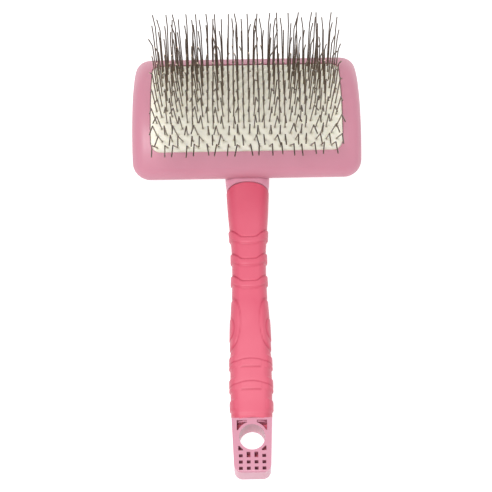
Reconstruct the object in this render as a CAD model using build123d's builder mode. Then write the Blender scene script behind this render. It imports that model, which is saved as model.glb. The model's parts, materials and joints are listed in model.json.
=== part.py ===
"""Long-pin slicker brush: arched head, sprung pin pad, rubber grip and hanging tail.

Millimetres, +Z up. The brush lies on its back with its pins up. +Y runs from the tail
to the head, +X across the head. The origin is on the axis of the hang hole, in the
plane that the brush rests on.
"""

from build123d import *
from math import asin, cos, degrees, radians, sin
from random import Random
import os

# --- Head ---------------------------------------------------------------------------
SIDE_BORDER = 10.45             # pad's side to the head's outer wall
FACE_RADIUS = 52.5              # front face of the frame, a cylinder along X
HEAD_DEPTH = 13.0               # front face to underside, along the radius
HEAD_CORNER = 9.5               # corners seen from the front
EDGE_ROUND = 7.5                # rounding between the front face and the outer wall
BACK_ROUND = 2.0                # rounding of the underside's rim
FACE_BORDER = 8.6               # flat border between the pad's opening and the rounding
HEAD_RISE = 21.0                # height of the face's crown above the handle's front
HEAD_DISTANCE = 177.5           # hang hole to the crown of the head
FRAME_DEPTH = 6.0               # front frame, front face to the parting face
FLOOR = 2.5                     # back shell under the foam

# --- Pin pad ------------------------------------------------------------------------
PIN_COLUMNS = 18                # wire legs in a row
PIN_ROWS = 17
COLUMN_PITCH = 5.4
ROW_PITCH = 3.3                 # along the arch
SIDE_MARGIN = 3.3               # pad beyond the outermost leg, across
END_MARGIN = 2.5                # pad beyond the first and last rows, along the arch
PAD_CORNER = 5.0
PAD_THICKNESS = 2.0
PAD_SINK = 0.3                  # pad face below the frame's face
OPENING_GAP = 0.35              # pad to the wall of its opening
CARD_FLANGE = 2.0               # card beyond the pad, under the lip
CARD_THICKNESS = 1.0
CARD_GAP = 0.3                  # card to the lip, and card to the cavity's wall
PAD_TRAVEL = 1.5                # how far the pad sinks on its foam
FOAM_GAP = 0.3                  # left between foam and crowns when the pad is down
FOAM_SIDE_GAP = 0.5

# --- Wire staples -------------------------------------------------------------------
WIRE_RADIUS = 0.33
WIRE_HOLE_GAP = 0.05
SHANK = 24.0                    # pad face to knee
TIP = 11.0                      # knee to tip
KNEE_ANGLE = 33.0               # bend at the knee, towards the handle
KNEE_BEND = 2.0
CROWN_BEND = 0.4
ROOT_BEND = 3.0                 # gentle bend where a leg leaves the pad
KNEE_SPREAD = 0.55              # each leg leans out from its staple's middle
TIP_SPREAD = 0.35               # and its tip a little further
WOBBLE = 0.5                    # uneven lean of single legs
TIP_WOBBLE = 0.9                # and of their tips
WOBBLE_SEED = 11

# --- Handle -------------------------------------------------------------------------
HANDLE_DEPTH = 15.0
GRIP_WALL = 2.4                 # rubber over the core
SECTION_ROUND = 6.6             # corner rounding of the grip's cross-section
GRIP_START = 8.1                # hang hole to the grip's lower corners
START_ARCH = 1.3                # the grip's lower end bows up by this in its middle
END_ARCH = 3.6                  # and its upper end by this
RELIEF = 0.8                    # height of the raised bands
BAND_COUNT = 3
BAND_PITCH = 12.5
BAND_FIRST = 105.7              # hang hole to the flat top of the highest band
BAND_FLAT = 8.0                 # width of a band's flat middle
BAND_RISE = 6.4                 # its upper edge climbs by this at the grip's sides
BAND_FOOT_RISE = 4.4            # and its lower edge by this
BAND_THICKNESS = 3.5
ARCH_COUNT = 2
ARCH_PITCH = 11.6
ARCH_FIRST = 35.0               # hang hole to the straight foot of the higher arch
ARCH_RISE = 4.1                 # from its foot to its crown
ARCH_SIDE = 1.0                 # from its foot to its ends
COLLAR_WIDTH = 23.8             # width of the collar where it meets the head
COLLAR_LENGTH = 9.6             # grip's upper corners to the spine
COLLAR_TAPER = 5.0              # the collar widens over this, up to the spine
SPINE_LEAD = 1.9                # spine in front of the rim of the head's underside
SPINE_WIDTH = 22.0
SPINE_ROUND = 4.0
SPINE_REACH = 18.0              # spine's flat back past the head's crown
SPINE_TOE = 10.0                # its far end climbs to the shell over this
SPINE_BLOCK = 8.0               # the block round the tang, in front of the shell
SPINE_BITE = 1.0                # how far the spine runs into the shell
TANG_WIDTH = 14.0
TANG_DEPTH = 7.0
TANG_LENGTH = 34.0              # core inside the spine
TANG_GAP = 0.1

# Width of the grip at distances from the hang hole, and at its upper end. The distances
# hold for a grip of this span, and stretch with it.
GRIP_SPAN = 132.33292
GRIP_WIDTHS = (
    (7.7, 20.0), (16.5, 20.3), (27.5, 20.7), (43.5, 20.4), (59.5, 19.7), (71.5, 18.3),
    (84.5, 17.6), (98.5, 17.8), (109.5, 19.4), (121.5, 21.4),
)
GRIP_TOP_WIDTH = 23.4

# --- Tail ---------------------------------------------------------------------------
TAIL_DEPTH = 14.0
TAIL_WIDTH = 19.6               # where it leaves the grip
TAIL_TAPER = 2.3                # narrower by this at its end
TAIL_CORNER = 4.0
TAIL_END_ROUND = 1.0
TAIL_END_WALL = 1.2             # last pockets to the end of the tail
TAIL_WALL = 1.0                 # round the rubber tongue in the tail's back
TONGUE_DEPTH = 8.0              # thickness of that tongue
HANG_RADIUS = 6.2
RING_WALL = 1.25                # round the hang hole
RING_BACK_WALL = 0.7            # the same wall where the tongue passes it
POCKET_WIDTH = 1.8
POCKET_LENGTH = 1.5
POCKET_PITCH_X = 3.7
POCKET_PITCH_Y = 3.0
POCKET_GAP = 1.7                # ring to the middle of the first row of pockets
POCKET_EXTRA = 1.1              # the middle two of that row reach nearer the ring
WINDOW_TOP = 8.3                # hang hole to the upper corner windows' straight edge
WINDOW_SIDE = 7.3               # and to their sides
WINDOW_WIDTH = 4.9
WINDOW_LENGTH = 5.0
LOW_WINDOW_TOP = -4.4           # the lower, smaller pair
LOW_WINDOW_SIDE = 6.7
LOW_WINDOW = 2.2
POCKET_COLUMNS = 4
POCKET_ROWS = 3

# --- Worked out ---------------------------------------------------------------------
ARCH_Z = HANDLE_DEPTH + HEAD_RISE - FACE_RADIUS
PAD_RADIUS = FACE_RADIUS - PAD_SINK
CARD_RADIUS = PAD_RADIUS - PAD_THICKNESS
LIP_RADIUS = CARD_RADIUS + CARD_GAP
CARD_BACK_RADIUS = CARD_RADIUS - CARD_THICKNESS
CROWN_RADIUS = CARD_BACK_RADIUS - WIRE_RADIUS
FOAM_RADIUS = CROWN_RADIUS - WIRE_RADIUS - PAD_TRAVEL - FOAM_GAP
BACK_RADIUS = FACE_RADIUS - HEAD_DEPTH
FLOOR_RADIUS = BACK_RADIUS + FLOOR
PARTING_RADIUS = FACE_RADIUS - FRAME_DEPTH

ROW_STEP = degrees(ROW_PITCH / PAD_RADIUS)
FIRST_ROW = ROW_STEP * (PIN_ROWS - 1) / 2
PAD_ANGLE = FIRST_ROW + degrees(END_MARGIN / PAD_RADIUS)
PAD_WIDTH = (PIN_COLUMNS - 0.5) * COLUMN_PITCH + 2 * SIDE_MARGIN
PAD_LENGTH = 2 * PAD_RADIUS * sin(radians(PAD_ANGLE))
HEAD_WIDTH = PAD_WIDTH + 2 * SIDE_BORDER
EDGE_ANGLE = PAD_ANGLE + degrees(FACE_BORDER / FACE_RADIUS)
WALL_ANGLE = EDGE_ANGLE + degrees(asin(EDGE_ROUND / (FACE_RADIUS - EDGE_ROUND)))
HEAD_TOP = ARCH_Z + FACE_RADIUS

SPINE_START = HEAD_DISTANCE - BACK_RADIUS * sin(radians(WALL_ANGLE)) - SPINE_LEAD
GRIP_END = SPINE_START - COLLAR_LENGTH
COLLAR_START = SPINE_START - COLLAR_TAPER
GRIP_LOW, GRIP_LOW_WIDTH = GRIP_WIDTHS[0]
GRIP_STRETCH = (COLLAR_START - GRIP_LOW) / GRIP_SPAN

RING_RADIUS = HANG_RADIUS + RING_WALL
RING_BACK_RADIUS = HANG_RADIUS + RING_BACK_WALL
POCKET_FIRST = RING_RADIUS + POCKET_GAP
POCKET_LAST = POCKET_FIRST + POCKET_PITCH_Y * (POCKET_ROWS - 1)
TAIL_END = POCKET_LAST + POCKET_LENGTH / 2 + TAIL_END_WALL


def add_arch_band(outer, inner, mode=Mode.ADD):
    """Add, cut or keep the band between two cylinders along X about the arch's centre."""
    with BuildSketch(Plane.YZ) as band:
        with Locations((HEAD_DISTANCE, ARCH_Z)):
            Circle(outer)
            Circle(inner, mode=Mode.SUBTRACT)
    extrude(band.sketch, amount=HEAD_WIDTH, both=True, mode=mode)


def add_pad_prism(margin, mode=Mode.ADD):
    """Add or cut an upright prism over the head: the pad's plan, grown by a margin."""
    with BuildSketch(Plane.XY) as plan:
        with Locations((0, HEAD_DISTANCE)):
            RectangleRounded(PAD_WIDTH + 2 * margin, PAD_LENGTH + 2 * margin, PAD_CORNER + margin)
    extrude(plan.sketch, amount=HEAD_TOP + SHANK, mode=mode)


def add_head_block():
    """Add the whole outer form of the head, rounded at its corners and front rim."""
    with BuildSketch(Plane.YZ) as profile:
        with BuildLine():
            centre = (HEAD_DISTANCE, ARCH_Z)
            front = CenterArc(centre, FACE_RADIUS, 90 - WALL_ANGLE, 2 * WALL_ANGLE)
            back = CenterArc(centre, BACK_RADIUS, 90 - WALL_ANGLE, 2 * WALL_ANGLE)
            Line(front @ 0, back @ 0)
            Line(front @ 1, back @ 1)
        make_face()
    extrude(profile.sketch, amount=HEAD_WIDTH / 2, both=True)
    straight = edges().filter_by(GeomType.LINE)
    fillet([edge for edge in straight if abs(edge.tangent_at(0).X) < 0.5], HEAD_CORNER)
    rounds = faces().filter_by(GeomType.CYLINDER)
    front_face = [face for face in rounds if abs(face.radius - FACE_RADIUS) < 0.001][0]
    fillet(front_face.edges(), EDGE_ROUND)
    rounds = faces().filter_by(GeomType.CYLINDER)
    underside = [face for face in rounds if abs(face.radius - BACK_RADIUS) < 0.001][0]
    fillet(underside.edges(), BACK_ROUND)


def row_plane(row, radius):
    """The plane through one row of pins, X across the head and Z along the pins."""
    angle = radians(FIRST_ROW - row * ROW_STEP)
    lean, rise = -sin(angle), cos(angle)
    origin = (0, HEAD_DISTANCE + radius * lean, ARCH_Z + radius * rise)
    return Plane(origin=origin, x_dir=(1, 0, 0), z_dir=(0, lean, rise))


def leg_places(row):
    """Where the wire legs of one row stand, across the head. The rows are staggered."""
    shift = COLUMN_PITCH / 4 * (1 if row % 2 else -1)
    middle = (PIN_COLUMNS - 1) / 2
    return [(column - middle) * COLUMN_PITCH + shift for column in range(PIN_COLUMNS)]


def cut_wire_holes():
    """Cut one hole for every wire leg, along the leg."""
    for row in range(PIN_ROWS):
        with BuildSketch(row_plane(row, PAD_RADIUS + 1)) as holes:
            with Locations([(place, 0) for place in leg_places(row)]):
                Circle(WIRE_RADIUS + WIRE_HOLE_GAP)
        depth = PAD_THICKNESS + CARD_THICKNESS + 2
        extrude(holes.sketch, amount=-depth, mode=Mode.SUBTRACT)


def add_staple(row, middle, random):
    """Add one wire staple: a crown behind the card and two bent legs."""
    knee_height = SHANK + PAD_RADIUS - CROWN_RADIUS
    back, up = TIP * sin(radians(KNEE_ANGLE)), TIP * cos(radians(KNEE_ANGLE))
    points = []
    for side in (-1, 1):
        foot = middle + side * COLUMN_PITCH / 2
        hole = PAD_RADIUS - CROWN_RADIUS
        knee = foot + side * KNEE_SPREAD + random.uniform(-WOBBLE, WOBBLE)
        sway = random.uniform(-WOBBLE, WOBBLE)
        tip = knee + side * TIP_SPREAD + random.uniform(-TIP_WOBBLE, TIP_WOBBLE)
        leg = [(foot, 0, 0), (foot, 0, hole), (knee, sway, knee_height),
               (tip, sway - back, knee_height + up)]
        points = leg[::-1] if side < 0 else points + leg
    bends = [KNEE_BEND, ROOT_BEND, CROWN_BEND, CROWN_BEND, ROOT_BEND, KNEE_BEND]
    with BuildLine(row_plane(row, CROWN_RADIUS)) as wire:
        FilletPolyline(*points, radius=bends)
    with BuildSketch(Plane(origin=wire.line @ 0, z_dir=wire.line % 0)) as section:
        Circle(WIRE_RADIUS)
    sweep(section.sketch, path=wire.line)


def add_handle_loft(inset=0.0, proud=0.0, mode=Mode.ADD):
    """Loft the grip's form: inset for the core, or proud at front and sides for relief."""
    depth = HANDLE_DEPTH - 2 * inset + proud
    stations = [(GRIP_LOW + (distance - GRIP_LOW) * GRIP_STRETCH, width)
                for distance, width in GRIP_WIDTHS]
    sections = []
    for distance, width in stations + [(COLLAR_START, GRIP_TOP_WIDTH)]:
        middle = (0, distance, inset + depth / 2)
        with BuildSketch(Plane(origin=middle, x_dir=(1, 0, 0), z_dir=(0, 1, 0))) as section:
            RectangleRounded(width - 2 * inset + 2 * proud, depth, SECTION_ROUND - inset)
        sections.append(section.sketch)
    loft(sections, mode=mode)


def bowed_edge(distance, width, bow):
    """An arc across the handle, through its sides at distance and bowed to the head."""
    radius = (width**2 / 4 + bow**2) / (2 * bow)
    half_turn = degrees(asin((COLLAR_WIDTH / 2 + 1) / radius))
    centre = (0, distance + bow - radius)
    return CenterArc(centre, radius, 90 - half_turn, 2 * half_turn)


def add_grip_zone(start=GRIP_START, mode=Mode.ADD):
    """Add, cut or keep the stretch of the handle that the rubber covers."""
    with BuildSketch(Plane.XY) as zone:
        with BuildLine():
            lower = bowed_edge(start, GRIP_LOW_WIDTH, START_ARCH)
            upper = bowed_edge(GRIP_END, GRIP_TOP_WIDTH, END_ARCH)
            Line(lower @ 0, upper @ 0)
            Line(lower @ 1, upper @ 1)
        make_face()
    extrude(zone.sketch, amount=2 * HANDLE_DEPTH, both=True, mode=mode)


def add_tail_plate(inset, top, depth, mode=Mode.ADD):
    """Add or cut the tail's plan, inset from its sides, up to a distance and a depth."""
    wide, narrow = TAIL_WIDTH / 2 - inset, (TAIL_WIDTH - TAIL_TAPER) / 2 - inset
    end = inset - TAIL_END
    with BuildSketch(Plane.XY) as outline:
        with BuildLine():
            Polyline((-wide, top), (-narrow, end), (narrow, end), (wide, top), close=True)
        make_face()
        fillet(outline.vertices().group_by(Axis.Y)[0], TAIL_CORNER - inset)
    extrude(outline.sketch, amount=depth, mode=mode)


def cut_tail_windows():
    """Cut the tail's lattice: four corner windows and the rows of small pockets."""
    with BuildSketch(Plane.XY) as windows:
        for side, align in ((-1, Align.MIN), (1, Align.MAX)):
            with Locations((side * WINDOW_SIDE, WINDOW_TOP)):
                Rectangle(WINDOW_WIDTH, WINDOW_LENGTH, align=(align, Align.MAX))
            with Locations((side * LOW_WINDOW_SIDE, LOW_WINDOW_TOP)):
                Rectangle(LOW_WINDOW, LOW_WINDOW, align=(align, Align.MAX))
        Circle(RING_RADIUS, mode=Mode.SUBTRACT)
        with Locations((0, -(POCKET_FIRST + POCKET_LAST) / 2)):
            with GridLocations(POCKET_PITCH_X, POCKET_PITCH_Y, POCKET_COLUMNS, POCKET_ROWS):
                Rectangle(POCKET_WIDTH, POCKET_LENGTH)
        with Locations((0, -POCKET_FIRST)):
            with GridLocations(POCKET_PITCH_X, POCKET_PITCH_Y, 2, 1):
                Rectangle(POCKET_WIDTH, POCKET_LENGTH / 2 + POCKET_EXTRA, align=LOW_EDGE)
    extrude(windows.sketch, amount=TAIL_DEPTH, mode=Mode.SUBTRACT)


def add_band(top):
    """Draw a band across the grip, with a flat middle and climbing ends."""
    flat, side = BAND_FLAT / 2, COLLAR_WIDTH / 2
    steepness = (side - flat) / (GRIP_LOW_WIDTH / 2 - flat)
    low = top - BAND_THICKNESS
    high_end, low_end = top + BAND_RISE * steepness, low + BAND_FOOT_RISE * steepness
    with BuildLine() as outline:
        Polyline((-side, high_end), (-flat, top), (flat, top), (side, high_end),
                 (side, low_end), (flat, low), (-flat, low), (-side, low_end), close=True)
    make_face(outline.edges())


def add_arch(foot):
    """Draw a low arch on the grip's front, standing on a straight foot."""
    half, end = COLLAR_WIDTH / 2, foot + ARCH_SIDE
    with BuildLine() as outline:
        Polyline((-half, end), (-half, foot), (half, foot), (half, end))
        ThreePointArc((-half, end), (0, foot + ARCH_RISE), (half, end))
    make_face(outline.edges())


def save(name, piece):
    """Label a finished piece and write it under its own name."""
    piece.label = name
    export_step(piece, f"parts/{name}.step")


LOW_EDGE = (Align.CENTER, Align.MIN)
os.makedirs("parts", exist_ok=True)

# --- Whole form of the head, before it is parted --------------------------------------
with BuildPart() as head_form:
    add_head_block()

# --- Hollow of the head: room for card, crowns and foam -------------------------------
with BuildPart() as cavity:
    add_pad_prism(CARD_FLANGE + CARD_GAP)
    add_arch_band(LIP_RADIUS, FLOOR_RADIUS, mode=Mode.INTERSECT)

# --- front_frame: the frame round the pad, with its lip over the card -----------------
with BuildPart() as front_frame:
    add(head_form.part)
    add_arch_band(FACE_RADIUS + 1, PARTING_RADIUS, mode=Mode.INTERSECT)
    add_pad_prism(OPENING_GAP, mode=Mode.SUBTRACT)
    add(cavity.part, mode=Mode.SUBTRACT)
save("front_frame", front_frame.part)

# --- back_shell: rear casing with the spine that takes the handle's tang --------------
with BuildPart() as back_shell:
    add(head_form.part)
    add_arch_band(PARTING_RADIUS, BACK_RADIUS - 1, mode=Mode.INTERSECT)
    with BuildSketch(Plane.YZ) as spine:
        with BuildLine():
            heel = HEAD_DISTANCE + SPINE_REACH
            Polyline((SPINE_START, 0), (heel, 0), (heel + SPINE_TOE, SPINE_TOE),
                     (heel + SPINE_TOE, HEAD_TOP), (SPINE_START, HEAD_TOP), close=True)
        make_face()
        with Locations((HEAD_DISTANCE, ARCH_Z)):
            Circle(BACK_RADIUS + SPINE_BITE, mode=Mode.INTERSECT)
        with Locations((SPINE_START, 0)):
            Rectangle(SPINE_BLOCK, HANDLE_DEPTH - SPINE_BITE, align=(Align.MIN, Align.MIN))
    extrude(amount=SPINE_WIDTH / 2, both=True)
    fillet(edges().filter_by(Axis.Y).group_by(Axis.Z)[0], SPINE_ROUND)
    add(cavity.part, mode=Mode.SUBTRACT)
    with BuildSketch(Plane.XZ.offset(-SPINE_START)):
        with Locations((0, HANDLE_DEPTH / 2)):
            Rectangle(TANG_WIDTH + 2 * TANG_GAP, TANG_DEPTH + 2 * TANG_GAP)
    extrude(amount=-(TANG_LENGTH + TANG_GAP), mode=Mode.SUBTRACT)
save("back_shell", back_shell.part)

# --- Tail plate: the latticed end of the core, with the hang hole ---------------------
with BuildPart() as tail:
    add_tail_plate(0, GRIP_START + START_ARCH, TAIL_DEPTH)
    with BuildSketch(Plane.YZ):
        with Locations((-TAIL_END, 0)):
            Rectangle(2 * TAIL_END, TAIL_DEPTH, align=(Align.MIN, Align.MIN))
        fillet(vertices().group_by(Axis.X)[0].sort_by(Axis.Y)[-1], TAIL_END_ROUND)
    extrude(amount=TAIL_WIDTH, both=True, mode=Mode.INTERSECT)
    add_tail_plate(TAIL_WALL, GRIP_START + 2 * GRIP_WALL, TONGUE_DEPTH, mode=Mode.SUBTRACT)
    with BuildSketch(Plane.XY):
        Circle(RING_BACK_RADIUS)
    extrude(amount=TONGUE_DEPTH)
    cut_tail_windows()
    with BuildSketch(Plane.XY):
        Circle(HANG_RADIUS)
    extrude(amount=TAIL_DEPTH, mode=Mode.SUBTRACT)

# --- handle_core: collar, core of the grip, tang and latticed tail --------------------
with BuildPart() as handle_core:
    add_handle_loft()
    add_grip_zone(start=-TAIL_END, mode=Mode.SUBTRACT)
    with BuildSketch(Plane.XZ.offset(-COLLAR_START)):
        with Locations((0, HANDLE_DEPTH / 2)):
            RectangleRounded(GRIP_TOP_WIDTH, HANDLE_DEPTH, SECTION_ROUND)
    with BuildSketch(Plane.XZ.offset(-SPINE_START)):
        with Locations((0, HANDLE_DEPTH / 2)):
            RectangleRounded(COLLAR_WIDTH, HANDLE_DEPTH, SECTION_ROUND)
    loft()
    add(head_form.part, mode=Mode.SUBTRACT)
    add_handle_loft(inset=GRIP_WALL)
    with BuildSketch(Plane.XZ.offset(-SPINE_START)):
        with Locations((0, HANDLE_DEPTH / 2)):
            Rectangle(TANG_WIDTH, TANG_DEPTH)
    extrude(amount=-TANG_LENGTH)
    add(tail.part)
save("handle_core", handle_core.part)

# --- Relief of the grip: slices of a slightly larger grip -----------------------------
with BuildPart() as relief:
    add_handle_loft(proud=RELIEF)
    with BuildSketch(Plane.XY.offset(HANDLE_DEPTH / 3)) as bands:
        for band in range(BAND_COUNT):
            add_band(BAND_FIRST - band * BAND_PITCH)
        for arch in range(ARCH_COUNT):
            add_arch(ARCH_FIRST - arch * ARCH_PITCH)
    extrude(amount=HANDLE_DEPTH, mode=Mode.INTERSECT)

# --- grip_sleeve: rubber round the core, with a tongue that floors the tail's lattice --
with BuildPart() as grip_sleeve:
    add_handle_loft()
    add_grip_zone(mode=Mode.INTERSECT)
    add(relief.part)
    add_tail_plate(TAIL_WALL, GRIP_START + 2 * GRIP_WALL, TONGUE_DEPTH)
    with BuildSketch(Plane.XY):
        Circle(RING_BACK_RADIUS)
    extrude(amount=TONGUE_DEPTH, mode=Mode.SUBTRACT)
    add(handle_core.part, mode=Mode.SUBTRACT)
save("grip_sleeve", grip_sleeve.part)

# --- pin_pad: rubber face of the pad --------------------------------------------------
with BuildPart() as pin_pad:
    add_pad_prism(0)
    add_arch_band(PAD_RADIUS, CARD_RADIUS, mode=Mode.INTERSECT)
    cut_wire_holes()
save("pin_pad", pin_pad.part)

# --- pin_card: woven foundation bonded behind the rubber ------------------------------
with BuildPart() as pin_card:
    add_pad_prism(CARD_FLANGE)
    add_arch_band(CARD_RADIUS, CARD_BACK_RADIUS, mode=Mode.INTERSECT)
    cut_wire_holes()
save("pin_card", pin_card.part)

# --- pad_foam: drawn as thick as it is when the pad is pressed right down -------------
with BuildPart() as pad_foam:
    add_pad_prism(CARD_FLANGE - FOAM_SIDE_GAP)
    add_arch_band(FOAM_RADIUS, FLOOR_RADIUS, mode=Mode.INTERSECT)
save("pad_foam", pad_foam.part)

# --- pin_row_01 to pin_row_17: staples, each with two bent legs -----------------------
wobble = Random(WOBBLE_SEED)
for row in range(PIN_ROWS):
    places = leg_places(row)
    with BuildPart() as pin_row:
        for first, second in zip(places[::2], places[1::2]):
            add_staple(row, (first + second) / 2, wobble)
    save(f"pin_row_{row + 1:02d}", pin_row.part)
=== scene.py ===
"""Looks of the long-pin slicker brush, built round its packed construction frame."""

import json
import logging
import math
from dataclasses import dataclass
from enum import Enum
from typing import Any, Iterable, Mapping, Sequence, Union

import bpy
import numpy as np
from mathutils import Matrix, Vector

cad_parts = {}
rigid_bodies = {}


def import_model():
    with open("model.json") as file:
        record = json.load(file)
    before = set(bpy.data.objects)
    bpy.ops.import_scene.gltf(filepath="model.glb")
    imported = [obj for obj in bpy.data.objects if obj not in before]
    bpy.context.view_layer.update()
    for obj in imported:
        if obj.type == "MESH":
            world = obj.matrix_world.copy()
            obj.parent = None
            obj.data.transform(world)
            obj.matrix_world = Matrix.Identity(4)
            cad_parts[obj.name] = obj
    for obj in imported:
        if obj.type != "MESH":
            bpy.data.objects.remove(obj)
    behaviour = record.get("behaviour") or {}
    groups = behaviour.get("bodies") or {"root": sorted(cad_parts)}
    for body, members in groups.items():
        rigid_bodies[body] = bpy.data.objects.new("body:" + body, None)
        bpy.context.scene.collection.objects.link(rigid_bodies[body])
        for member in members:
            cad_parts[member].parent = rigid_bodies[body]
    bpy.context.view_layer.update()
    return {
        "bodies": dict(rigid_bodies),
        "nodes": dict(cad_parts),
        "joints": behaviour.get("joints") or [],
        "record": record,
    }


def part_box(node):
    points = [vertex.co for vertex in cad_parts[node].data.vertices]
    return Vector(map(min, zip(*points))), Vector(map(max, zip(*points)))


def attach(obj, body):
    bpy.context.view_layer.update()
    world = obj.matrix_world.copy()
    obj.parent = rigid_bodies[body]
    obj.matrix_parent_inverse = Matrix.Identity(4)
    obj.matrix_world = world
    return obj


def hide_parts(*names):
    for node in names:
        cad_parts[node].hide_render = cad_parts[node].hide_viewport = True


LOG = logging.getLogger("slicker_brush")
MM = 0.001
NOISE_MIDDLE = 0.5
Pair = tuple[float, float]
Triple = tuple[float, float, float]
Colour = Triple
Number = Union["Num", float]
Places = Union[np.ndarray, float]


class Slot(Enum):
    """Material slots of the record."""

    HEAD = "head_plastic"
    CORE = "core_plastic"
    GRIP = "grip_rubber"
    PAD = "pad_rubber"
    CARD = "card_cloth"
    FOAM = "foam"
    WIRE = "pin_wire"


class Body(Enum):
    """Moving bodies of the record."""

    ROOT = "root"
    PAD = "pad"


class Num:
    """A number that varies over a surface, with the arithmetic that finishes use."""

    def __init__(self, bench: "Bench", socket: bpy.types.NodeSocket) -> None:
        """Wrap an output socket of a bench's node tree."""
        self.bench = bench
        self.socket = socket

    def _math(self, operation: str, first: Number, second: Number) -> "Num":
        """Return a new number from one Math node.

        Args:
            operation: The Math node's operation.
            first: Its first value.
            second: Its second value.

        Returns:
            The node's output as a number.
        """
        node = self.bench.node("ShaderNodeMath", {"operation": operation}, {0: first, 1: second})
        return Num(self.bench, node.outputs[0])

    def __add__(self, other: Number) -> "Num":
        """Return self + other."""
        return self._math("ADD", self, other)

    def __radd__(self, other: Number) -> "Num":
        """Return other + self."""
        return self._math("ADD", other, self)

    def __sub__(self, other: Number) -> "Num":
        """Return self - other."""
        return self._math("SUBTRACT", self, other)

    def __mul__(self, other: Number) -> "Num":
        """Return self * other."""
        return self._math("MULTIPLY", self, other)

    def clamped(self) -> "Num":
        """Return this number held between 0 and 1."""
        return self._math("MINIMUM", self._math("MAXIMUM", self, 0.0), 1.0)

    def spread(self, gain: float, cut: float) -> "Num":
        """Return this number times a gain, less a cut, held between 0 and 1."""
        return (self * gain - cut).clamped()

    def swing(self, amount: float) -> "Num":
        """Return how far this noise is from its middle, times an amount."""
        return (self - NOISE_MIDDLE) * amount


class Bench:
    """One material's node tree, and the few ways in which nodes are added to it."""

    def __init__(self, name: str) -> None:
        """Start a material that holds a shader and its output."""
        self.material = bpy.data.materials.new(name)
        self.material.use_nodes = True
        self.tree = self.material.node_tree
        self.shader = self.tree.nodes["Principled BSDF"]

    def node(
        self, kind: str, settings: Mapping[str, Any], values: Mapping[Any, Any]
    ) -> bpy.types.Node:
        """Add a node.

        Args:
            kind: The node's type.
            settings: Its properties, set before its sockets.
            values: Numbers, colours or links for its input sockets, by name or place.

        Returns:
            The new node.
        """
        made = self.tree.nodes.new(kind)
        for key, value in settings.items():
            setattr(made, key, value)
        for key, value in values.items():
            self.feed(made.inputs[key], value)
        return made

    def feed(self, socket: bpy.types.NodeSocket, value: Any) -> None:
        """Set a socket to a constant, or link it to a number or an output."""
        if isinstance(value, Num):
            self.tree.links.new(value.socket, socket)
        elif isinstance(value, bpy.types.NodeSocket):
            self.tree.links.new(value, socket)
        elif isinstance(value, tuple) and len(value) == 3 and socket.type == "RGBA":
            socket.default_value = (*value, 1.0)
        else:
            socket.default_value = value

    def noise(self, scale: float, detail: float = 2.0, stretch: Triple = (1, 1, 1)) -> Num:
        """Return soft noise over the object's own coordinates.

        Args:
            scale: Noise cells in a metre.
            detail: Finer octaves.
            stretch: Scale of the coordinates along X, Y and Z.

        Returns:
            The noise, about 0.5 on average.
        """
        places = self.node("ShaderNodeTexCoord", {}, {}).outputs["Object"]
        scaled = self.node(
            "ShaderNodeVectorMath", {"operation": "MULTIPLY"}, {0: places, 1: stretch}
        )
        sockets = {"Vector": scaled.outputs[0], "Scale": scale, "Detail": detail}
        return Num(self, self.node("ShaderNodeTexNoise", {}, sockets).outputs["Fac"])

    def attribute(self, name: str) -> Num:
        """Return a number stored on the mesh under a name."""
        made = self.node("ShaderNodeAttribute", {"attribute_name": name}, {})
        return Num(self, made.outputs["Fac"])

    def mix(self, factor: Number, first: Any, second: Any) -> bpy.types.NodeSocket:
        """Return the colour between two colours at a factor."""
        made = self.node(
            "ShaderNodeMix", {"data_type": "RGBA"}, {"Factor": factor, 6: first, 7: second}
        )
        return made.outputs[2]

    def bump(self, height: Number, distance: float, strength: float = 1.0) -> None:
        """Bump the shader's normal by a height that spans a distance in metres."""
        made = self.node(
            "ShaderNodeBump", {}, {"Height": height, "Distance": distance, "Strength": strength}
        )
        self.feed(self.shader.inputs["Normal"], made.outputs["Normal"])

    def shade(self, **values: Any) -> bpy.types.Material:
        """Set the shader's sockets, named with underscores, and return the material."""
        for key, value in values.items():
            self.feed(self.shader.inputs[key.replace("_", " ")], value)
        return self.material


@dataclass(frozen=True)
class MouldedPlastic:
    """Injection-moulded plastic with a fine satin grain."""

    name: str
    colour: Colour
    deep: Colour
    roughness: float
    cloud_share: float = 0.7
    flow_share: float = 0.3
    tone_cut: float = 0.25

    def build(self) -> bpy.types.Material:
        """Return the plastic as a material."""
        bench = Bench(self.name)
        cloud = bench.noise(scale=22.0)
        grain = bench.noise(scale=2600.0, detail=1.0)
        flow = bench.noise(scale=60.0, detail=3.0, stretch=(1.0, 0.25, 1.0))
        tone = cloud * self.cloud_share + flow * self.flow_share - self.tone_cut
        colour = bench.mix(tone.clamped(), self.colour, self.deep)
        bench.bump(grain, distance=0.00003, strength=0.35)
        return bench.shade(
            Base_Color=colour,
            Roughness=self.roughness + grain.swing(0.16) + cloud.swing(0.1),
            IOR=1.47,
            Subsurface_Weight=0.06,
            Subsurface_Radius=(0.004, 0.0015, 0.0015),
            Subsurface_Scale=0.4,
        )


@dataclass(frozen=True)
class GripRubber:
    """Soft-touch rubber with a random paler bloom, and painted shade in its grooves, on its flanks
    and towards the head.
    """

    name: str
    colour: Colour
    # colour of the painted shade laid in the grooves, on the flanks and towards the head
    groove_and_painted_shade: Colour
    bloom: Colour

    def build(self) -> bpy.types.Material:
        """Return the rubber as a material."""
        bench = Bench(self.name)
        cloud = bench.noise(scale=30.0, detail=3.0)
        grain = bench.noise(scale=3200.0, detail=1.0)
        dusty = bench.mix(cloud.spread(gain=1.3, cut=0.35), self.colour, self.bloom)
        # painted shade: the stored mask darkens the grooves, the flanks and the end towards the
        # head
        colour = bench.mix(bench.attribute("groove_and_painted_shade").clamped(), dusty, self.groove_and_painted_shade)
        bench.bump(grain, distance=0.00004, strength=0.4)
        return bench.shade(
            Base_Color=colour,
            Roughness=0.5 + cloud.swing(0.2) + grain.swing(0.15),
            Sheen_Weight=0.12,
            Sheen_Roughness=0.5,
        )


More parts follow.
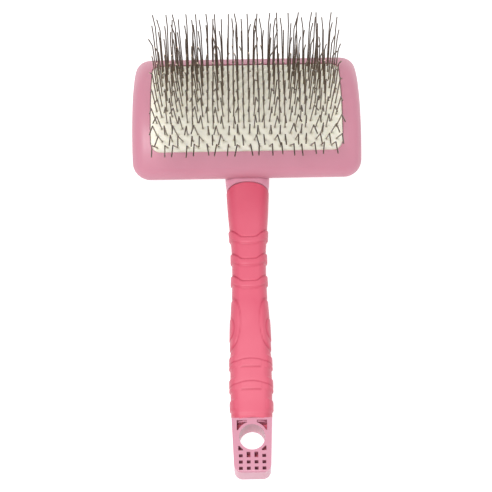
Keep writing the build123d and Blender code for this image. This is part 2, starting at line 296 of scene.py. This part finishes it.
@dataclass(frozen=True)
class PadRubber:
    """Cream cushion rubber, with painted shade in the dimples where the wires leave it."""

    name: str
    colour: Colour
    # colour of the painted shade in the dimples round the wires
    hollow_shade: Colour
    hollow_share: float = 0.8
    cloud_middle: float = 0.45
    cloud_share: float = 0.35

    def build(self) -> bpy.types.Material:
        """Return the rubber as a material."""
        bench = Bench(self.name)
        cloud = bench.noise(scale=45.0, detail=3.0)
        grain = bench.noise(scale=1900.0, detail=2.0)
        # painted shade: the dimples round the wire roots are darkened
        hollow_shade = bench.attribute("hollow_shade") * self.hollow_share
        tone = (hollow_shade + (cloud - self.cloud_middle) * self.cloud_share).clamped()
        bench.bump(grain, distance=0.00006, strength=0.5)
        return bench.shade(
            Base_Color=bench.mix(tone, self.colour, self.hollow_shade),
            Roughness=0.62 + grain.swing(0.2),
            Subsurface_Weight=0.12,
            Subsurface_Radius=(0.003, 0.0025, 0.0015),
            Subsurface_Scale=0.5,
        )


@dataclass(frozen=True)
class DrawnWire:
    """Drawn steel wire, tarnished brown-grey, with faint lengthwise marks."""

    name: str
    colour: Colour
    tarnish: Colour

    def build(self) -> bpy.types.Material:
        """Return the wire as a material."""
        bench = Bench(self.name)
        cloud = bench.noise(scale=260.0, detail=3.0)
        marks = bench.noise(scale=4000.0, detail=2.0, stretch=(1.0, 1.0, 0.1))
        bench.bump(marks, distance=0.00002, strength=0.3)
        return bench.shade(
            Base_Color=bench.mix(cloud.spread(gain=1.6, cut=0.3), self.colour, self.tarnish),
            Metallic=0.75 + cloud.swing(0.2),
            Roughness=0.36 + marks.swing(0.2),
        )


@dataclass(frozen=True)
class WovenCard:
    """Plain-woven cotton foundation of the pad."""

    name: str
    colour: Colour
    gap: Colour
    band_scale: float = 250.0

    def build(self) -> bpy.types.Material:
        """Return the weave as a material."""
        bench = Bench(self.name)
        places = bench.node("ShaderNodeTexCoord", {}, {}).outputs["Object"]
        waves = [
            Num(bench, bench.node(
                "ShaderNodeTexWave", {"bands_direction": way},
                {"Vector": places, "Scale": self.band_scale, "Distortion": 0.4},
            ).outputs["Fac"])
            for way in ("X", "Y")
        ]
        weave = waves[0] * waves[1]
        bench.bump(weave, distance=0.0001, strength=0.6)
        return bench.shade(Base_Color=bench.mix(weave, self.gap, self.colour), Roughness=0.9)


@dataclass(frozen=True)
class OpenFoam:
    """Open-celled cushion foam."""

    name: str
    colour: Colour
    cell: Colour
    cell_scale: float = 1400.0

    def build(self) -> bpy.types.Material:
        """Return the foam as a material."""
        bench = Bench(self.name)
        places = bench.node("ShaderNodeTexCoord", {}, {}).outputs["Object"]
        cells = Num(bench, bench.node(
            "ShaderNodeTexVoronoi", {"feature": "F1"}, {"Vector": places, "Scale": self.cell_scale}
        ).outputs["Distance"])
        bench.bump(cells, distance=0.0003, strength=0.8)
        return bench.shade(Base_Color=bench.mix(cells, self.cell, self.colour), Roughness=0.95)


HEAD_PLASTIC = MouldedPlastic(
    Slot.HEAD.value, colour=(0.63, 0.262, 0.343), deep=(0.55, 0.212, 0.29), roughness=0.42
)
CORE_PLASTIC = MouldedPlastic(
    Slot.CORE.value, colour=(0.65, 0.292, 0.385), deep=(0.60, 0.255, 0.345), roughness=0.34
)
GRIP_RUBBER = GripRubber(
    Slot.GRIP.value,
    colour=(0.70, 0.100, 0.168),
    # painted shade colour for the grooves, the flanks and the end towards the head
    groove_and_painted_shade=(0.50, 0.030, 0.080),
    bloom=(0.78, 0.175, 0.245),
)
PAD_RUBBER = PadRubber(Slot.PAD.value, colour=(0.95, 0.915, 0.78), hollow_shade=(0.72, 0.66, 0.52))
PIN_WIRE = DrawnWire(Slot.WIRE.value, colour=(0.23, 0.175, 0.135), tarnish=(0.10, 0.07, 0.052))
CARD_CLOTH = WovenCard(Slot.CARD.value, colour=(0.62, 0.57, 0.47), gap=(0.28, 0.25, 0.2))
PAD_FOAM = OpenFoam(Slot.FOAM.value, colour=(0.5, 0.5, 0.48), cell=(0.25, 0.25, 0.24))


def smooth(low: float, high: float, value: np.ndarray) -> np.ndarray:
    """Return a smooth step from 0 below low to 1 above high."""
    t = np.clip((value - low) / (high - low), 0.0, 1.0)
    return t * t * (3 - 2 * t)


@dataclass(frozen=True)
class Line:
    """A groove that follows an edge of the relief."""

    shift: float
    width: float
    depth: float

    def at(self, away: np.ndarray) -> np.ndarray:
        """Return the groove's depth at distances past the edge."""
        return self.depth * np.exp(-(((away - self.shift) / self.width) ** 2))


@dataclass(frozen=True)
class Ridge:
    """A raised strip between two edges, with a ramp outside each."""

    low_shift: float
    high_shift: float
    low_ramp: float
    high_ramp: float

    def at(self, value: np.ndarray, low: Places, high: Places) -> np.ndarray:
        """Return the strip's height, from 0 outside it to 1 on it.

        Args:
            value: The places to work it out at.
            low: Its low edge, before the shift.
            high: Its high edge, before the shift.

        Returns:
            The height at each place.
        """
        rise = smooth(-self.low_ramp, 0.0, value - (low + self.low_shift))
        return rise * (1 - smooth(0.0, self.high_ramp, value - (high + self.high_shift)))


@dataclass(frozen=True)
class Oval:
    """A raised oval on the grip's flank."""

    reach: float
    length: float
    middle: float
    height: float


def make_mesh(name: str, points: np.ndarray, quads: Sequence[Sequence[int]]) -> bpy.types.Object:
    """Make a smooth-shaded object from points in millimetres.

    Args:
        name: The piece's name.
        points: One row for each vertex.
        quads: The faces, as vertex numbers.

    Returns:
        The linked object.
    """
    mesh = bpy.data.meshes.new(name)
    mesh.from_pydata([tuple(point) for point in points * MM], [], [tuple(quad) for quad in quads])
    mesh.validate()
    mesh.shade_smooth()
    made = bpy.data.objects.new(name, mesh)
    bpy.context.scene.collection.objects.link(made)
    return made


def store(piece: bpy.types.Object, name: str, values: np.ndarray) -> None:
    """Store one number for each vertex of a piece, for its finish to read."""
    layer = piece.data.attributes.new(name, "FLOAT", "POINT")
    layer.data.foreach_set("value", np.asarray(values, dtype=np.float32))


def grid_quads(
    rows: int, columns: int, start: int = 0, wrap: bool = False, flip: bool = False
) -> list[list[int]]:
    """Return the quads of a grid of vertices.

    Args:
        rows: Vertices along the first way.
        columns: Vertices along the second way, which varies fastest.
        start: The first vertex's number.
        wrap: Whether the second way closes on itself.
        flip: Whether the faces look the other way.

    Returns:
        A list of four vertex numbers each.
    """
    quads = []
    for row in range(rows - 1):
        for column in range(columns if wrap else columns - 1):
            after = (column + 1) % columns
            a, b = start + row * columns + column, start + row * columns + after
            quad = [a, b, b + columns, a + columns]
            quads.append(quad[::-1] if flip else quad)
    return quads


@dataclass
class Grip:
    """The rubber sleeve of the handle, with its raised bands, side ovals and arches."""

    widths: tuple[Pair, ...] = (
        (7.7, 20.0), (16.5, 20.3), (27.5, 20.7), (43.5, 20.4), (59.5, 19.7), (71.5, 18.3),
        (84.5, 17.6), (98.5, 17.8), (109.5, 19.4), (121.5, 21.4), (140.0, 23.4),
    )
    width_steps: int = 400
    width_blur: int = 41
    depth: float = 15.0
    section_round: float = 6.6
    section_fill: float = 2.2
    wall: float = 2.3
    start: float = 8.25
    start_bow: float = 1.3
    start_reach: float = 10.0
    end: float = 135.25
    end_bow: float = 3.6
    end_reach: float = 11.7
    relief: float = 0.75
    bands: Triple = (105.7, 93.2, 80.7)
    band_flat: float = 4.0
    band_slope: float = 1.07
    band_foot_slope: float = 0.73
    band_bend: float = 1.0
    band_thickness: float = 3.5
    band_ridge: Ridge = Ridge(0.9, -0.2, 1.3, 0.45)
    band_top_line: Line = Line(0.35, 0.42, 0.95)
    band_foot_line: Line = Line(-0.3, 0.6, 0.45)
    arches: Pair = (35.0, 23.4)
    arch_rise: float = 4.1
    arch_fall: float = 3.1
    arch_reach: float = 11.9
    arch_middle: Pair = (4.4, 5.6)
    arch_ridge: Ridge = Ridge(0.3, 0.0, 0.4, 0.4)
    arch_share: float = 0.45
    arch_top_line: Line = Line(0.3, 0.38, 0.8)
    arch_foot_line: Line = Line(0.0, 0.34, 0.95)
    bump_side: Pair = (6.6, 8.2)
    bump_ridge: Ridge = Ridge(0.8, 6.0, 1.0, 1.2)
    bump_share: float = 0.8
    low_bump: Pair = (14.6, 18.4)
    low_bump_ridge: Ridge = Ridge(0.0, 0.0, 1.0, 1.2)
    ovals: tuple[Oval, ...] = (Oval(5.5, 13.6, 58.8, 0.3), Oval(2.7, 6.0, 56.4, 0.25))
    oval_past: float = 0.6
    oval_ramp: Pair = (0.93, 1.03)
    oval_line: Line = Line(1.04, 0.055, 0.7)
    slant_top: float = 73.5
    slant_slope: float = 0.85
    slant_reach: float = 9.0
    slant_side: Pair = (4.2, 7.0)
    slant_line: Line = Line(0.0, 0.45, 0.4)
    low_step: Pair = (10.9, 11.7)
    low_step_depth: float = 0.45
    front: Pair = (3.5, 6.5)
    end_fade: float = 0.5
    end_drop: float = 0.35
    groove_depth: float = 0.24
    # painted shade: how dark the grooves, the flanks and the end towards the head are painted
    groove_shade: float = 0.75
    flank: Pair = (0.45, 1.0)
    flank_shade: float = 0.45
    neck: Pair = (112.0, 136.0)
    neck_shade: float = 0.2
    stations: int = 330
    around: int = 132

    def width_at(self, distance: np.ndarray) -> np.ndarray:
        """Return the grip's width at distances from the hang hole."""
        places, widths = np.array(self.widths).T
        fine = np.linspace(places[0], places[-1], self.width_steps)
        coarse = np.interp(fine, places, widths)
        window = np.hanning(self.width_blur)
        kernel = window / window.sum()
        margin = self.width_blur // 2
        padded = np.pad(coarse, margin, mode="edge")
        return np.interp(distance, fine, np.convolve(padded, kernel, "valid"))

    def relief_at(
        self, x: np.ndarray, y: np.ndarray, half: np.ndarray
    ) -> tuple[np.ndarray, np.ndarray]:
        """Work out the relief at places seen from the front.

        Args:
            x: Distance from the handle's middle line.
            y: Distance from the hang hole.
            half: Half the grip's width there.

        Returns:
            The height above the plain grip, and how deep in a groove each place is.
        """
        across = np.abs(x)
        past = across - self.band_flat
        climb = (past + np.hypot(past, self.band_bend)) / 2
        height, groove_and_painted_shade = np.zeros_like(x), np.zeros_like(x)
        for top in self.bands:
            upper = top + climb * self.band_slope
            lower = top - self.band_thickness + climb * self.band_foot_slope
            height += self.relief * self.band_ridge.at(y, lower, upper)
            groove_and_painted_shade += self.band_top_line.at(y - upper)
            groove_and_painted_shade += self.band_foot_line.at(y - lower)
        middle = 1 - smooth(*self.arch_middle, across)
        side = smooth(*self.bump_side, across)
        for foot in self.arches:
            crest = foot + self.arch_rise - self.arch_fall * (across / self.arch_reach) ** 2
            height += self.arch_share * self.relief * self.arch_ridge.at(y, foot, crest) * middle
            height += self.bump_share * self.relief * side * self.bump_ridge.at(y, foot, foot)
            groove_and_painted_shade += self.arch_top_line.at(y - crest)
            groove_and_painted_shade += self.arch_foot_line.at(y - foot) * middle
        low_bump = side * self.low_bump_ridge.at(y, *self.low_bump)
        height += self.bump_share * self.relief * low_bump
        for oval in self.ovals:
            aside = (across - half - self.oval_past) / oval.reach
            ring = np.hypot(aside, (y - oval.middle) / oval.length)
            height += oval.height * (1 - smooth(*self.oval_ramp, ring))
            groove_and_painted_shade += self.oval_line.at(ring)
        slant = self.slant_top - self.slant_slope * (self.slant_reach - across)
        groove_and_painted_shade += self.slant_line.at(y - slant) * smooth(*self.slant_side, across)
        height -= self.low_step_depth * (1 - smooth(*self.low_step, y))
        return height, np.clip(groove_and_painted_shade, 0, 1)

    def skin(self, inset: float, raised: bool) -> tuple[np.ndarray, np.ndarray]:
        """Work out one skin of the sleeve.

        Args:
            inset: Distance inside the plain grip.
            raised: Whether the skin carries the relief.

        Returns:
            The points, station by station, and how much painted shade each one gets, in the
            grooves, on the flanks and towards the head.
        """
        share = np.linspace(0, 1, self.stations)
        nominal = self.start + (self.end - self.start) * share
        half = self.width_at(nominal)[:, None] / 2 - inset
        tall = self.depth / 2 - inset
        corner = self.section_round - inset
        turn = np.linspace(0, 2 * np.pi, self.around, endpoint=False)[None, :]
        cosine, sine = np.cos(turn), np.sin(turn)
        flat_x = (half - corner) * np.clip(cosine * self.section_fill, -1, 1)
        flat_z = (tall - corner) * np.clip(sine * self.section_fill, -1, 1)
        x = flat_x + corner * cosine
        z = np.broadcast_to(self.depth / 2 + flat_z + corner * sine, x.shape)
        low = self.start + self.start_bow * (1 - (x / self.start_reach) ** 2)
        high = self.end + self.end_bow * (1 - (x / self.end_reach) ** 2)
        y = low + (high - low) * share[:, None]
        groove_and_painted_shade = np.zeros_like(x)
        if raised:
            height, groove_and_painted_shade = self.relief_at(x, y, half)
            front = smooth(*self.front, z)
            height, groove_and_painted_shade = height * front, groove_and_painted_shade * front
            ends = smooth(0, self.end_fade, y - low) * smooth(0, self.end_fade, high - y)
            height = height * ends - self.end_drop * (1 - ends)
            height -= self.groove_depth * groove_and_painted_shade
            # painted shade: darker towards the flanks and towards the head end, added to the
            # groove shade
            shade = self.flank_shade * smooth(*self.flank, np.abs(x) / half)
            shade = shade + self.neck_shade * smooth(*self.neck, y)
            groove_and_painted_shade = np.clip(groove_and_painted_shade * self.groove_shade + shade, 0, 1)
            x, z = x + height * cosine, z + height * sine * front
        points = np.stack([x, y, z], axis=-1).reshape(-1, 3)
        return points, groove_and_painted_shade.reshape(-1)

    def build_sleeve(self) -> bpy.types.Object:
        """Return the sleeve: an outer skin with relief, an inner one, and their rims."""
        outer, groove_and_painted_shade = self.skin(0.0, True)
        inner, _ = self.skin(self.wall, False)
        count = len(outer)
        quads = grid_quads(self.stations, self.around, wrap=True, flip=True)
        quads += grid_quads(self.stations, self.around, start=count, wrap=True)
        last = (self.stations - 1) * self.around
        for column in range(self.around):
            after = (column + 1) % self.around
            quads.append([column, after, count + after, count + column])
            here, there = last + column, last + after
            quads.append([there, here, count + here, count + there])
        sleeve = make_mesh("grip_rubber_sleeve", np.concatenate([outer, inner]), quads)
        store(sleeve, "groove_and_painted_shade", np.concatenate([groove_and_painted_shade, np.zeros(count)]))
        return sleeve

    def dress(self) -> None:
        """Build both pieces, give them their rubber and set them on the frame."""
        rubber = GRIP_RUBBER.build()
        for piece in (self.build_sleeve(), Tongue().build()):
            piece.data.materials.append(rubber)
            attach(piece, Body.ROOT.value)
            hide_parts("grip_sleeve")
            LOG.info("%s: %d vertices", piece.name, len(piece.data.vertices))


@dataclass
class Tongue:
    """The rubber tongue in the tail's back, round the hang hole."""

    tail_end: float = -16.05
    grip_end: float = 7.6
    half_at_grip: float = 8.6
    half_at_tail: float = 7.5
    corner: float = 3.0
    corner_steps: int = 9
    hole: float = 6.95
    bottom: float = 0.03
    top: float = 7.96
    around: int = 120

    def build(self) -> bpy.types.Object:
        """Return the tongue: its outline and its hole, each at two heights."""
        arc = np.linspace(-np.pi / 2, 0, self.corner_steps)
        middle_x, middle_y = self.half_at_tail - self.corner, self.tail_end + self.corner
        right = [
            (middle_x + self.corner * math.cos(a), middle_y + self.corner * math.sin(a))
            for a in arc
        ]
        right.append((self.half_at_grip, self.grip_end))
        outline = right + [(-x, y) for x, y in right[::-1]]
        edge = densify(np.array(outline), self.around)
        angle = np.arctan2(edge[:, 1], edge[:, 0])
        hole = self.hole * np.stack([np.cos(angle), np.sin(angle)], axis=1)
        loops = ((edge, self.bottom), (hole, self.bottom), (hole, self.top), (edge, self.top))
        points = np.concatenate(
            [np.column_stack([flat, np.full(len(flat), height)]) for flat, height in loops]
        )
        quads = []
        for ring in range(len(loops)):
            here, above = ring * self.around, (ring + 1) % len(loops) * self.around
            for column in range(self.around):
                after = (column + 1) % self.around
                quads.append([above + column, above + after, here + after, here + column])
        tongue = make_mesh("grip_rubber_tongue", points, quads)
        tongue.data.shade_flat()
        store(tongue, "groove_and_painted_shade", np.zeros(len(points)))
        return tongue


def densify(loop: np.ndarray, count: int) -> np.ndarray:
    """Return a closed loop's outline as evenly spaced points."""
    closed = np.vstack([loop, loop[:1]])
    along = np.concatenate([[0], np.cumsum(np.linalg.norm(np.diff(closed, axis=0), axis=1))])
    places = np.linspace(0, along[-1], count, endpoint=False)
    return np.column_stack([np.interp(places, along, closed[:, axis]) for axis in (0, 1)])


@dataclass
class Pad:
    """The cushion rubber that the wires stand in, and what lies behind it."""

    radius: float = 52.2
    thickness: float = 2.0
    corner: float = 5.0
    columns: int = 18
    rows: int = 17
    column_pitch: float = 5.4
    row_pitch: float = 3.3
    across: int = 420
    along: int = 230
    edge_crowding: float = 1.15
    edge_round: float = 0.9
    edge_drop: float = 0.3
    sink: float = 0.05
    dimple: float = 0.42
    dimple_width: float = 0.75
    hollow_width: float = 0.7
    quilt: float = 0.16

    def build_rubber(self) -> bpy.types.Object:
        """Return the rubber face, softly quilted by its rows of wires."""
        low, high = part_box("pin_pad")
        half_x, half_y = (high.x - low.x) / 2 / MM, (high.y - low.y) / 2 / MM
        middle_y = (high.y + low.y) / 2 / MM
        arch_z = high.z / MM - self.radius
        v = np.linspace(-1, 1, self.along)
        v = np.sign(v) * (1 - (1 - np.abs(v)) ** self.edge_crowding)
        plan_y = v * half_y
        over = np.clip(np.abs(plan_y) - (half_y - self.corner), 0, self.corner)
        reach = half_x - self.corner + np.sqrt(self.corner**2 - over**2)
        u = np.linspace(-1, 1, self.across)
        x = u[None, :] * reach[:, None]
        y = np.broadcast_to(plan_y[:, None], x.shape)
        angle = np.arcsin(y / self.radius)
        height, hollow_shade = self.surface(x, angle * self.radius)
        edge = np.minimum(reach[:, None] - np.abs(x), half_y - np.abs(y))
        rounding = (1 - np.clip(edge / self.edge_round, 0, 1)) ** 2
        height = height - self.edge_drop * rounding
        front, back = self.radius + height, self.radius - self.thickness
        top = np.stack([x, middle_y + y, arch_z + np.sqrt(front**2 - y**2)], axis=-1)
        under = np.stack([x, middle_y + y, arch_z + np.sqrt(back**2 - y**2)], axis=-1)
        count = self.across * self.along
        quads = grid_quads(self.along, self.across)
        quads += grid_quads(self.along, self.across, start=count, flip=True)
        rim = [*range(self.across), *range(2 * self.across - 1, count, self.across)]
        rim += [*range(count - 2, count - self.across - 1, -1)]
        rim += [*range(count - 2 * self.across, 0, -self.across)]
        for here, after in zip(rim, rim[1:] + rim[:1]):
            quads.append([after, here, count + here, count + after])
        points = np.concatenate([top.reshape(-1, 3), under.reshape(-1, 3)])
        rubber = make_mesh("pad_rubber_face", points, quads)
        store(rubber, "hollow_shade", np.concatenate([hollow_shade.reshape(-1), np.zeros(count)]))
        return rubber

    def surface(self, x: np.ndarray, arc: np.ndarray) -> tuple[np.ndarray, np.ndarray]:
        """Work out the rubber's relief.

        Args:
            x: Distance from the pad's middle line.
            arc: Distance along the arch from its crown.

        Returns:
            The height above the plain arch, and how near to a wire each place is.
        """
        height = self.quilt * np.cos(np.pi * arc / self.row_pitch)
        height = height * np.cos(np.pi * x / self.column_pitch)
        hollow_shade = np.zeros_like(x)
        middle = (self.columns - 1) / 2
        for row in range(self.rows):
            place = (row - (self.rows - 1) / 2) * self.row_pitch
            shift = self.column_pitch / 4 * (1 if row % 2 else -1)
            nearest = np.round((x - shift) / self.column_pitch + middle)
            nearest = np.clip(nearest, 0, self.columns - 1)
            aside = x - shift - (nearest - middle) * self.column_pitch
            distance = np.hypot(aside, arc - place)
            height -= self.dimple * np.exp(-((distance / self.dimple_width) ** 2))
            # nearness to a wire, which sets the painted shade in the dimples
            hollow_shade += np.exp(-((distance / self.hollow_width) ** 2))
        return height - self.sink, np.clip(hollow_shade, 0, 1)

    def dress(self, frame: dict) -> None:
        """Build the rubber, and finish the rubber, card, foam and wires."""
        rubber = self.build_rubber()
        rubber.data.materials.append(PAD_RUBBER.build())
        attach(rubber, Body.PAD.value)
        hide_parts("pin_pad")
        LOG.info("%s: %d vertices", rubber.name, len(rubber.data.vertices))
        wire = PIN_WIRE.build()
        for name, node in frame["nodes"].items():
            if name.startswith("pin_row"):
                paint(node, wire)
        paint(frame["nodes"]["pin_card"], CARD_CLOTH.build())
        paint(frame["nodes"]["pad_foam"], PAD_FOAM.build())


@dataclass
class Casings:
    """The moulded head and the core of the handle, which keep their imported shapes."""

    head: tuple[str, ...] = ("front_frame", "back_shell")
    core: tuple[str, ...] = ("handle_core",)

    def dress(self, frame: dict) -> None:
        """Give the mouldings their plastics."""
        head, core = HEAD_PLASTIC.build(), CORE_PLASTIC.build()
        for name in self.head:
            paint(frame["nodes"][name], head)
        for name in self.core:
            paint(frame["nodes"][name], core)


def paint(node: bpy.types.Object, material: bpy.types.Material) -> None:
    """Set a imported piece's material slots to one finish."""
    if not node.data.materials:
        node.data.materials.append(material)
    for place in node.material_slots:
        place.material = material
    LOG.info("%s: finished as %s", node.name, material.name)


@dataclass(frozen=True)
class Lamp:
    """One soft square light: its place in metres, its side and its watts."""

    name: str
    place: Triple
    size: float
    power: float


@dataclass
class Studio:
    """Pale floor, soft lights and the camera."""

    target: Triple = (-0.00135, 0.0975, 0.0215)
    elevation: float = 64.0
    azimuth: float = 0.0
    roll: float = -1.0
    distance: float = 0.55
    lens: float = 78.9
    world: float = 0.42
    glow: float = 0.9
    floor_size: float = 6.0
    floor_place: Triple = (0, 0.1, -0.0002)
    aim: Triple = (0.0, 0.1, 0.02)
    lamps: tuple[Lamp, ...] = (
        Lamp("key", (-0.25, -0.2, 1.15), 0.45, 10.5),
        Lamp("fill", (0.8, -0.1, 0.8), 0.9, 1.4),
        Lamp("rim", (0.1, 1.0, 0.7), 0.8, 1.8),
    )

    def floor(self) -> None:
        """Lay a wide pale floor that the brush rests on."""
        bpy.ops.mesh.primitive_plane_add(size=self.floor_size, location=self.floor_place)
        ground = bpy.context.object
        ground.name = "floor"
        bench = Bench("floor_paper")
        grain = bench.noise(scale=300.0)
        colour = bench.mix(grain, (0.38, 0.38, 0.38), (0.40, 0.40, 0.40))
        paper = bench.shade(
            Base_Color=colour,
            Roughness=0.95,
            Emission_Color=(1.0, 1.0, 1.0),
            Emission_Strength=self.glow,
        )
        ground.data.materials.append(paper)

    def light(self, lamp: Lamp) -> None:
        """Hang one light, facing the point that all of them aim at."""
        data = bpy.data.lights.new(lamp.name, "AREA")
        data.size = lamp.size
        data.energy = lamp.power
        hung = bpy.data.objects.new(lamp.name, data)
        hung.location = lamp.place
        facing = (Vector(self.aim) - Vector(lamp.place)).to_track_quat("-Z", "Y")
        hung.rotation_euler = facing.to_euler()
        bpy.context.scene.collection.objects.link(hung)

    def lights(self) -> None:
        """Light the brush from above, from the right and from beyond the head."""
        for lamp in self.lamps:
            self.light(lamp)
        world = bpy.context.scene.world or bpy.data.worlds.new("studio")
        bpy.context.scene.world = world
        world.use_nodes = True
        back = world.node_tree.nodes["Background"]
        back.inputs["Color"].default_value = (1, 1, 1, 1)
        back.inputs["Strength"].default_value = self.world

    def camera(self) -> None:
        """Set the camera at the elevation, roll and distance given."""
        data = bpy.data.cameras.new("camera")
        data.lens = self.lens
        data.clip_start = 0.01
        camera = bpy.data.objects.new("camera", data)
        up, turn = math.radians(self.elevation), math.radians(self.azimuth)
        level = math.cos(up)
        away = Vector((math.sin(turn) * -level, -math.cos(turn) * level, math.sin(up)))
        look = (-away).to_track_quat("-Z", "Y").to_matrix().to_4x4()
        place = Matrix.Translation(Vector(self.target) + away * self.distance)
        camera.matrix_world = place @ look @ Matrix.Rotation(math.radians(self.roll), 4, "Z")
        bpy.context.scene.collection.objects.link(camera)
        bpy.context.scene.camera = camera

    def build(self) -> None:
        """Set up the floor, lights, camera and a plain view transform."""
        self.floor()
        self.lights()
        self.camera()
        bpy.context.scene.view_settings.view_transform = "Standard"


def main() -> None:
    """Build and dress every sub-assembly."""
    logging.basicConfig(level=logging.INFO, format="%(message)s")
    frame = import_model()
    Studio().build()
    Casings().dress(frame)
    Grip().dress()
    Pad().dress(frame)
    bpy.context.view_layer.update()


if __name__ == "__main__":
    main()
